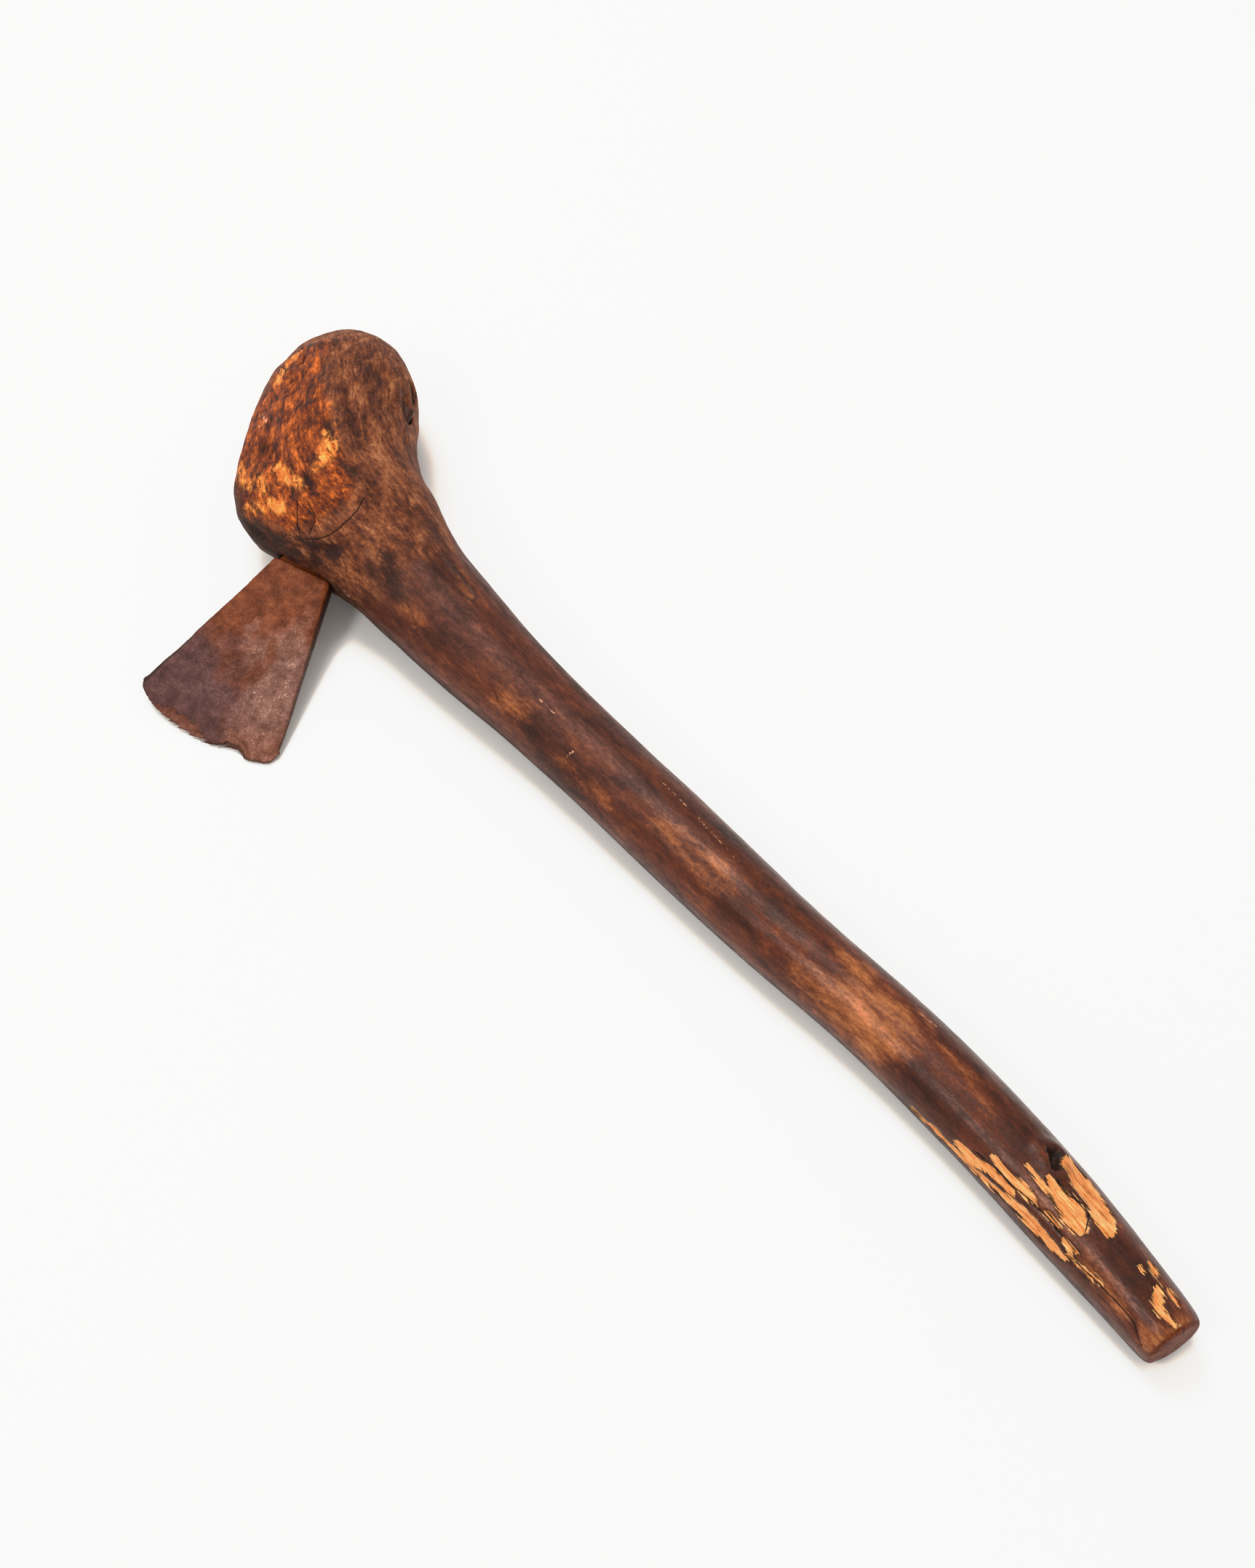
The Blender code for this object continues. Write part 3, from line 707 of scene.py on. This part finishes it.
def makeWood():
    material, tree, shader = newMaterial("dark worn wood")
    grain = attribute(tree, "grain", vector=True)
    noises = {name: grainNoise(tree, grain, *given) for name, given in wood["noises"].items()}

    def blend(name):
        # noises added around the middle, each with its own weight
        total = 0.5
        for part, share in wood["blends"][name]:
            total = add(tree, total, times(tree, less(tree, noises[part], 0.5), share))
        return total

    def shaken(name):
        # a mark's depth, with its rim broken up by noises
        value = attribute(tree, name)
        for part, *shift in wood["shakes"][name]:
            value = add(tree, value, span(tree, noises[part], *shift, soft=False))
        return value

    def within(name, value):
        return span(tree, value, *wood["spans"][name])

    def weighted(name, share):
        return times(tree, attribute(tree, name), share)

    # the handle: dark red brown, worn orange in places
    shade = weighted("dark", within("darker", attribute(tree, "head")))
    tone = add(tree, add(tree, blend("tone"), shade), weighted("orange", wood["orangeTone"]))
    handle = ramp(tree, tone, wood["handle"])
    worn = within("worn", add(tree, blend("worn"), weighted("orange", wood["orangeWorn"])))
    handle = mixColour(tree, worn, handle, ramp(tree, tone, wood["orange"]))

    # the head: mottled orange brown on the chopped front, duller on top and behind
    rough = add(tree, blend("rough"), shade)
    front = ramp(tree, rough, wood["front"])
    golden = ramp(tree, add(tree, noises["spots"], wood["yellowTone"]), wood["yellow"])
    front = mixColour(tree, weighted("yellow", within("lit", rough)), front, golden)
    bark = ramp(tree, add(tree, rough, weighted("fibres", wood["fibreTone"])), wood["bark"])
    headColour = mixColour(tree, within("face", shaken("face")), bark, front)
    headed = within("head", shaken("head"))
    colour = mixColour(tree, headed, handle, headColour)

    # bare wood where the surface tore away, with ragged ends along the grain
    ragged = add(tree, shaken("torn"), wood["bareSwell"])
    bare = within("bare", ragged)
    rim = times(tree, within("bareRim", ragged), less(tree, 1.0, bare))
    black = paint(*wood["crack"])
    colour = mixColour(tree, times(tree, rim, wood["bareRimShare"]), colour, black)
    colour = mixColour(tree, bare, colour, ramp(tree, blend("pale"), wood["torn"]))

    # thin cracks and pale chips
    crack = within("crack", calc(tree, "ABSOLUTE", shaken("crackSide")))
    crack = times(tree, crack, within("crackReach", attribute(tree, "crackNear")))
    colour = mixColour(tree, crack, colour, black)
    colour = mixColour(tree, within("chip", shaken("pale")), colour, paint(*wood["chip"]))

    # painted shade on the head's lower edge, a dark neck patch, the scar's dark rim, the dark knot,
    # hole and notch, and painted shade next to the iron and underneath
    shadeAndDarkShare = weighted("shadeAndDark", within("shadeAndDark", rough))
    shadeAndDarkColour = mixColour(tree, wood["shadeAndDarkMix"], black, paint(*wood["shadeAndDark"]))
    colour = mixColour(tree, shadeAndDarkShare, colour, shadeAndDarkColour)
    scar = shaken("scar")
    ring = times(tree, within("scarOutside", scar), within("scarInside", scar))
    ring = times(tree, ring, within("scarPatches", noises["patches"]))
    colour = mixColour(tree, ring, colour, black)
    pitsAndShade = within("hole", attribute(tree, "hole"))
    # the joint: the wood next to the iron is painted in shade
    for name in ("knot", "notch", "joint"):
        pitsAndShade = most(tree, pitsAndShade, within(name, shaken(name)))
    # painted shade on the underside
    pitsAndShade = most(tree, pitsAndShade, weighted("under", wood["undersideShadeShare"]))
    brokenPitsAndShade = times(tree, pitsAndShade, within("pitCrumbs", noises["crumbs"]))
    colour = mixColour(tree, brokenPitsAndShade, colour, black)
    sawn = within("end", attribute(tree, "end"))
    colour = mixColour(tree, sawn, colour, ramp(tree, noises["spots"], wood["end"]))

    # worn and polished on the handle, matt on the head, in the torn places, the pits and the painted
    # shade
    shine = add(tree, within("shine", blend("shine")), within("polish", attribute(tree, "polish")))
    matt = most(tree, times(tree, headed, wood["headMatt"]), bare)
    matt = most(tree, matt, most(tree, pitsAndShade, sawn))
    roughness = add(tree, shine, times(tree, matt, wood["mattRoughness"]))

    # fine relief: fibres and crumbs too small for the mesh
    relief = add(tree, noises["spots"], times(tree, noises["crumbs"], wood["crumbRelief"]))
    relief = times(tree, relief, within("relief", headed))
    relief = add(tree, relief, times(tree, noises["lines"], wood["lineRelief"]))
    torn = times(tree, noises["fibres"], times(tree, bare, wood["fibreRelief"]))
    relief = less(tree, add(tree, relief, torn), times(tree, crack, wood["crackRelief"]))
    finishSurface(tree, shader, colour, roughness, relief, wood)
    return material


haftPiece = fineCopy("haft", "haftWood", haft["spacing"])
haftMesh = haftPiece.data
buttRim = ease(readPoints(haftMesh)[:, 0], *haft["buttRim"])
soften(haftMesh, haft["softenRounds"], 1.0 - haft["buttHold"] * buttRim)
shapeHaft(haftMesh)
haftMesh.materials.append(makeWood())
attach(haftPiece, "root")
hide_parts("haft")
print("haft made:", len(haftMesh.vertices), "points")

# the blade: forged iron with a worn edge, rounded corners, pits and rust

blade = {
    "spacing": 0.00054,
    "softenRounds": 3,
    # the solid's own place and form, as it was made, in metres and degrees
    "mouth": (-0.217177, -0.016989, 0.026425),
    "heading": 29.4,
    "dip": 13.5,
    "roll": 2.5,
    "length": 0.0946,
    "shoulder": 0.0346,
    "edgeWidth": 0.0866,
    "edgeBulge": 0.0114,
    "edgeFullness": 3,
    "heelReach": 0.0080,
    "sweep": 0.0018,
    # wear of the edge and its corners, in metres
    "lossReach": 0.016,              # how far back from the edge the loss is felt
    "nickDepth": 0.00022,
    "edgeLimits": (-0.01, 0.12),     # how far in from the edge is stored
    "heelCorner": (0.0405, 0.0046),  # where the heel's corner starts to round off, and its radius
    "toeCorner": (0.0440, 0.0022),
    "cornerReach": 0.012,
    "heelTuck": 0.0012,              # how much narrower the heel's side is worn
    "tuckOut": (0.070, 0.100),
    "tuckAcross": (0.036, 0.0405),
    "lipWidth": 0.0074,              # the chipped lip along the toe's edge, where it is widest
    "lipStart": (0.009, -0.008),     # across, where the lip widens and narrows again
    "lipEnd": (-0.037, -0.021),
    "lipRagged": 0.0018,
    "lipRim": (0.0003, -0.0006),
    "lipEven": 0.7,
    "chipDepth": 0.0007,
    # hammered faces and pits
    "flatten": 0.6,                  # how the noises are squeezed through the thickness
    "hammered": ((55.0, 55.0, 55.0), 2, 3.0),
    "coarse": ((240.0, 240.0, 240.0), 3, 12.0),
    "pits": ((900.0, 900.0, 900.0), 3, 7.0),
    "nicks": ((900.0, 1.0, 1.0), 3, 5.0),
    "hammerDepth": 0.00035,
    "coarseFrom": (0.05, 0.5),
    "coarseShare": 1.5,
    "pitsFrom": (0.0, 0.5),
    "pitDepth": 0.00016,
    "faceFrom": (0.0003, 0.0012),    # half thickness over which the relief comes in
    "neck": (0.004, 0.0),            # out from the mouth, where the relief grows weaker
    "neckCalm": 0.5,
    "tangFrom": (-0.012, -0.004),    # no relief on the tang beyond this
    "sideFrom": (0.93, 1.0),
    "sideWave": 0.0003,
}

# how far the edge is worn back: (metres across, 0 in the middle, and mm lost)
edgeLoss = ((-0.046, 0.1), (-0.040, 0.0), (-0.030, 0.1), (-0.020, 0.3), (-0.008, 0.3), (0.000, 0.6),
            (0.0065, 1.2), (0.0082, 1.6), (0.0092, 2.4), (0.0105, 2.5), (0.0122, 4.0), (0.0150, 4.3),
            (0.0195, 4.4), (0.0208, 3.6), (0.0225, 3.2), (0.0245, 1.9), (0.0275, 1.4), (0.0330, 1.2),
            (0.0400, 0.6))


def bladeTurn():
    heading = Matrix.Rotation(math.radians(blade["heading"] - 90.0), 4, "Z")
    dip = Matrix.Rotation(math.radians(blade["dip"]), 4, "Y")
    roll = Matrix.Rotation(math.radians(-blade["roll"]), 4, "X")
    return np.array((heading @ dip @ roll).to_3x3())


def edgeLine(share):
    fullness = blade["edgeBulge"] * (1.0 - np.abs(share) ** blade["edgeFullness"])
    return blade["length"] + fullness + blade["heelReach"] * share / 2


def shapeBlade(mesh):
    # in the blade's own frame: out from the mouth, across towards the heel, up through its thickness
    turn = bladeTurn()
    mouth = np.array(blade["mouth"])
    points = readPoints(mesh)
    out, across, up = ((points - mouth) @ turn).T
    spread = blade["edgeWidth"] - blade["shoulder"]
    width = blade["shoulder"] + spread * np.clip(out, 0.0, None) / blade["length"]
    share = (across + blade["sweep"] * out / blade["length"]) / (width / 2)
    share = np.clip(share, -1.0, 1.0)
    fromEdge = edgeLine(share) - out

    # the edge worn back, with a step and a nick, and corners rounded in plan
    nicks = cloud(np.stack([across, across * 0.0, across * 0.0], axis=1), *blade["nicks"])
    loss = np.interp(across, *np.array(edgeLoss).T) * mm
    loss = loss + np.clip(nicks, -1.0, 1.0) * blade["nickDepth"]
    moved = out - loss * ease(fromEdge, blade["lossReach"], 0.0)
    for (corner, radius), side in ((blade["heelCorner"], 1.0), (blade["toeCorner"], -1.0)):
        inside = np.clip(side * across - (corner - radius), 0.0, radius)
        drop = radius - np.sqrt(np.clip(radius ** 2 - inside ** 2, 0.0, None))
        near = ease(fromEdge, blade["cornerReach"], 0.0)
        near = near * ease(side * across, corner - 2 * radius, corner - radius)
        moved -= np.minimum(drop, radius) * near
    tuck = ease(out, *blade["tuckOut"]) * ease(across, *blade["tuckAcross"]) * blade["heelTuck"]
    across = across - tuck

    # hammered faces, a rolled and chipped edge, fine pits
    plan = np.stack([out, across, up * blade["flatten"]], axis=1)
    hammered, coarse, pits = (cloud(plan, *blade[name]) for name in ("hammered", "coarse", "pits"))
    rise = hammered * blade["hammerDepth"]
    rise = rise - ease(coarse, *blade["coarseFrom"]) * blade["pitDepth"] * blade["coarseShare"]
    rise -= ease(pits, *blade["pitsFrom"]) * blade["pitDepth"]
    lipWidth = blade["lipWidth"] * ease(across, *blade["lipStart"]) * ease(across, *blade["lipEnd"])
    wide, tight = blade["lipRim"]
    lip = ease(fromEdge - loss + coarse * blade["lipRagged"], lipWidth + wide, lipWidth + tight)
    rise -= lip * blade["chipDepth"] * (blade["lipEven"] + coarse)
    rise *= 1.0 - blade["neckCalm"] * ease(out, *blade["neck"])
    faces = np.sign(up) * ease(np.abs(up), *blade["faceFrom"])
    up = up + faces * rise * ease(out, *blade["tangFrom"])
    side = np.sign(share) * ease(np.abs(share), *blade["sideFrom"])
    across = across + side * hammered * blade["sideWave"]
    points = np.stack([moved, across, up], axis=1) @ turn.T + mouth
    low, high = (np.array(corner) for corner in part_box("blade"))
    writePoints(mesh, np.clip(points, low, high))

    storeVector(mesh, "plan", np.stack([out, across, up], axis=1))
    storeNumber(mesh, "fromEdge", np.clip(fromEdge - loss, *blade["edgeLimits"]) * perMetre)
    storeNumber(mesh, "lip", lip)
    storeNumber(mesh, "share", share)


iron = {
    # colours along the tone, as for the wood
    "rust": ((0.34, (58, 25, 13)), (0.44, (84, 40, 19)), (0.51, (100, 49, 24)), (0.59, (114, 59, 30)),
             (0.69, (136, 78, 46))),
    "violet": ((0.34, (44, 29, 29)), (0.46, (64, 42, 42)), (0.56, (80, 54, 55)),
               (0.68, (102, 74, 72))),
    "heel": ((0.34, (76, 48, 40)), (0.46, (106, 74, 64)), (0.56, (126, 92, 82)),
             (0.68, (156, 122, 110))),
    "lip": ((0.36, (66, 36, 28)), (0.50, (90, 51, 39)), (0.64, (118, 76, 60))),
    "speck": (206, 176, 160),
    # painted shade for the narrow sides and the tang, also the dark of the lip's step and the thin
    # edge
    "sideShadeColour": (34, 24, 19),
    "sheen": 0.22,
    "sheenTint": (255, 222, 208),
    # noises: scale out, across and up, then detail, roughness, swirl and seed
    "noises": {
        "broad": ((38.0, 50.0, 50.0), 6.0, 0.6, 0.5, 2.0),
        "mottle": ((150.0, 150.0, 150.0), 8.0, 0.7, 0.2, 4.0),
        "grit": ((1100.0, 1100.0, 1100.0), 4.0, 0.7, 0.0, 6.0),
    },
    "mottleTone": 0.75,
    "gritTone": 0.25,
    # from and to for each change, as for the wood
    "spans": {
        "low": (0.050, 0.076),
        "toe": (0.020, -0.006),
        "heelOut": (0.020, 0.050),
        "heelAcross": (-0.006, 0.014),
        "heelEdge": (6.0, 26.0, 0.5, 1.0),
        "rubbed": (0.42, 0.58),
        "speck": (0.55, 0.68),
        "lip": (0.45, 0.65),
        "stepFrom": (0.10, 0.40),
        "stepTo": (0.62, 0.46),
        "thin": (1.6, 0.2),
        "side": (0.945, 0.985),
        "tang": (-0.05, -0.1),
        "shine": (0.40, 0.62, 0.58, 0.42),
    },
    "drift": (0.25, 0.75, -0.018, 0.018),    # how the broad noise moves the colours about
    "lipShake": (0.3, 0.7, -0.14, 0.14),
    "lowSlant": 0.35,
    "rubbedLeast": 0.10,
    # how much of each colour shows
    "heelShare": 0.85,
    "toeShare": 0.9,
    "speckShare": 0.7,
    "stepShare": 0.6,
    "thinShare": 0.5,
    "sideShadeShare": 0.8,
    "speckMetal": 0.5,
    "mottleRelief": 0.5,
    "gritRelief": 0.3,
    "reliefStrength": 0.7,
    "reliefHeight": 0.0007,
}


def makeIron():
    material, tree, shader = newMaterial("rusty iron")
    plan = attribute(tree, "plan", vector=True)
    split = addNode(tree, "ShaderNodeSeparateXYZ", {0: plan})
    out, across = split.outputs[0], split.outputs[1]
    fromEdge = attribute(tree, "fromEdge")
    broad, mottle, grit = (grainNoise(tree, plan, *given) for given in iron["noises"].values())
    # the painted shade's colour, also used for the lip's step and the thin edge
    dark = paint(*iron["sideShadeColour"])

    def within(name, value):
        return span(tree, value, *iron["spans"][name])

    def cover(colour, name, mask, over):
        return mixColour(tree, times(tree, mask, iron[name]), colour, over)

    # red rust near the head, violet and darker towards the toe, paler towards the heel
    drift = span(tree, broad, *iron["drift"], soft=False)
    tone = add(tree, times(tree, mottle, iron["mottleTone"]), times(tree, grit, iron["gritTone"]))
    down = add(tree, out, drift)
    aside = add(tree, across, drift)
    low = within("low", less(tree, down, times(tree, across, iron["lowSlant"])))
    toe = times(tree, low, within("toe", aside))
    heel = times(tree, within("heelOut", down), within("heelAcross", aside))
    heel = times(tree, heel, within("heelEdge", fromEdge))
    colour = ramp(tree, tone, iron["rust"])
    colour = cover(colour, "heelShare", heel, ramp(tree, tone, iron["heel"]))
    colour = cover(colour, "toeShare", toe, ramp(tree, tone, iron["violet"]))

    # pale grit where the surface is rubbed, most of it along the heel side
    rubbed = add(tree, iron["rubbedLeast"], times(tree, heel, within("rubbed", mottle)))
    specked = times(tree, within("speck", grit), rubbed)
    colour = cover(colour, "speckShare", specked, paint(*iron["speck"]))

    # the chipped lip along the toe's edge with its dark step, the dark thin edge, and painted shade on
    # the narrow sides and on the tang inside the head
    lip = add(tree, attribute(tree, "lip"), span(tree, mottle, *iron["lipShake"], soft=False))
    colour = mixColour(tree, within("lip", lip), colour, ramp(tree, tone, iron["lip"]))
    step = times(tree, within("stepFrom", lip), within("stepTo", lip))
    colour = cover(colour, "stepShare", step, dark)
    colour = cover(colour, "thinShare", within("thin", fromEdge), dark)
    side = within("side", calc(tree, "ABSOLUTE", attribute(tree, "share")))
    colour = cover(colour, "sideShadeShare", most(tree, side, within("tang", out)), dark)

    # duller in the pits, a little metal where it is rubbed bare
    roughness = within("shine", tone)
    tree.links.new(times(tree, specked, iron["speckMetal"]), shader.inputs["Metallic"])
    relief = times(tree, mottle, iron["mottleRelief"])
    relief = add(tree, relief, times(tree, grit, iron["gritRelief"]))
    finishSurface(tree, shader, colour, roughness, relief, iron)
    return material


bladePiece = fineCopy("blade", "bladeIron", blade["spacing"])
bladeMesh = bladePiece.data
soften(bladeMesh, blade["softenRounds"], np.ones(len(bladeMesh.vertices)))
shapeBlade(bladeMesh)
bladeMesh.materials.append(makeIron())
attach(bladePiece, "root")
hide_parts("blade")
print("blade made:", len(bladeMesh.vertices), "points")

# floor, lights and camera

studio = {
    "floorSize": 12.0,
    "floorColour": (236, 234, 231),
    "floorRoughness": 0.9,
    "floorSheen": 0.2,
    "lamps": (                       # name, place, size in metres, power in watts
        ("left", (-2.34, -0.19, 2.30), 0.5, 7.0),
        ("crest", (-1.10, 0.05, 2.10), 1.0, 30.0),
        ("behind", (0.30, 1.10, 2.40), 0.5, 2.0),
        ("front", (0.20, -1.70, 2.00), 0.6, 24.0),
    ),
    "lampTarget": (0.0, 0.0, 0.0),
    "skyColour": (255, 253, 250),
    "skyStrength": 0.80,
    "cameraPlace": (0.5453, -0.3281, 1.0257),
    "cameraRight": (0.5396, 0.8417, 0.0188),
    "cameraUp": (-0.7018, 0.4374, 0.5623),
    "lens": 56.45,
    "sensor": 36.0,                  # mm across
    "nearest": 0.01,                 # metres; nothing closer to the camera is drawn
    "brightest": 1.5,                # scene light that shows as white
    # (share of the brightest, how bright it shows)
    "toneCurve": ((0.0, 0.0), (0.267, 0.40), (0.33, 0.505), (0.37, 0.61), (0.41, 0.755), (0.45, 0.84),
                  (0.51, 0.885), (0.62, 0.918), (0.80, 0.945), (1.0, 0.98)),
}


def makeFloor():
    form = bmesh.new()
    half = studio["floorSize"] / 2
    ways = ((-1, -1), (1, -1), (1, 1), (-1, 1))
    form.faces.new([form.verts.new((x * half, y * half, 0.0)) for x, y in ways])
    mesh = bpy.data.meshes.new("floor")
    form.to_mesh(mesh)
    form.free()
    floor = bpy.data.objects.new("floor", mesh)
    bpy.context.scene.collection.objects.link(floor)
    material, tree, shader = newMaterial("pale floor")
    shader.inputs["Base Color"].default_value = paint(*studio["floorColour"])
    shader.inputs["Roughness"].default_value = studio["floorRoughness"]
    shader.inputs["Specular IOR Level"].default_value = studio["floorSheen"]
    mesh.materials.append(material)


def addLight(name, place, size, power):
    lamp = bpy.data.lights.new(name, "AREA")
    lamp.shape = "DISK"
    lamp.size = size
    lamp.energy = power
    light = bpy.data.objects.new(name, lamp)
    bpy.context.scene.collection.objects.link(light)
    light.location = place
    toward = Vector(studio["lampTarget"]) - Vector(place)
    light.rotation_euler = toward.to_track_quat("-Z", "Y").to_euler()


def makeCamera():
    data = bpy.data.cameras.new("camera")
    data.lens = studio["lens"]
    data.sensor_width = studio["sensor"]
    data.clip_start = studio["nearest"]
    camera = bpy.data.objects.new("camera", data)
    bpy.context.scene.collection.objects.link(camera)
    right = Vector(studio["cameraRight"]).normalized()
    up = Vector(studio["cameraUp"])
    up = (up - right * up.dot(right)).normalized()
    turn = Matrix((right, up, right.cross(up))).transposed()
    camera.matrix_world = Matrix.Translation(studio["cameraPlace"]) @ turn.to_4x4()
    bpy.context.scene.camera = camera


def makeSky():
    world = bpy.data.worlds.new("soft sky")
    world.use_nodes = True
    bpy.context.scene.world = world
    sky = world.node_tree.nodes["Background"]
    sky.inputs["Color"].default_value = paint(*studio["skyColour"])
    sky.inputs["Strength"].default_value = studio["skyStrength"]


def setTones():
    # even steps for the axe, a steep rise to the pale floor, and a soft shoulder above it
    settings = bpy.context.scene.view_settings
    settings.view_transform = "Standard"
    settings.use_curve_mapping = True
    mapping = settings.curve_mapping
    mapping.white_level = [studio["brightest"]] * 3
    curve = mapping.curves[3]    # the one for all three colours together
    curve.points[0].location = studio["toneCurve"][0]
    curve.points[1].location = studio["toneCurve"][-1]
    for place in studio["toneCurve"][1:-1]:
        curve.points.new(*place)
    mapping.update()


makeFloor()
makeSky()
for lamp in studio["lamps"]:
    addLight(*lamp)
makeCamera()
setTones()
print("floor, lights and camera set")
